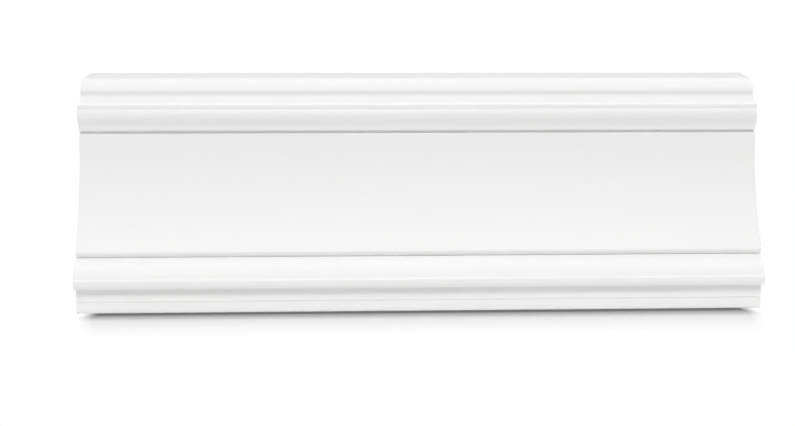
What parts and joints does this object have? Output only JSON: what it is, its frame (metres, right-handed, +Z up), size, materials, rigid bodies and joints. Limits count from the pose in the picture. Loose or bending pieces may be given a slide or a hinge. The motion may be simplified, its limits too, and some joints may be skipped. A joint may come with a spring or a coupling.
{
  "type": "skirting board",
  "caption": "Short straight length of moulded skirting board: a shallow cove between a beaded top rail and a stepped foot, flat at the back, cut square at both ends.",
  "frame": {"origin": "centre of the board's bounding box, on the floor that its foot stands on", "axes": "+X along the run, +Y out of the flat wall face, -Y out of the moulded show face, +Z up"},
  "size_m": [0.4, 0.042, 0.1433],
  "materials": {
    "white_primer": "satin white primer sprayed on a moulded rigid-foam board"
  },
  "bodies": {
    "root": {"skirting_board": "white_primer"}
  },
  "joints": []
}
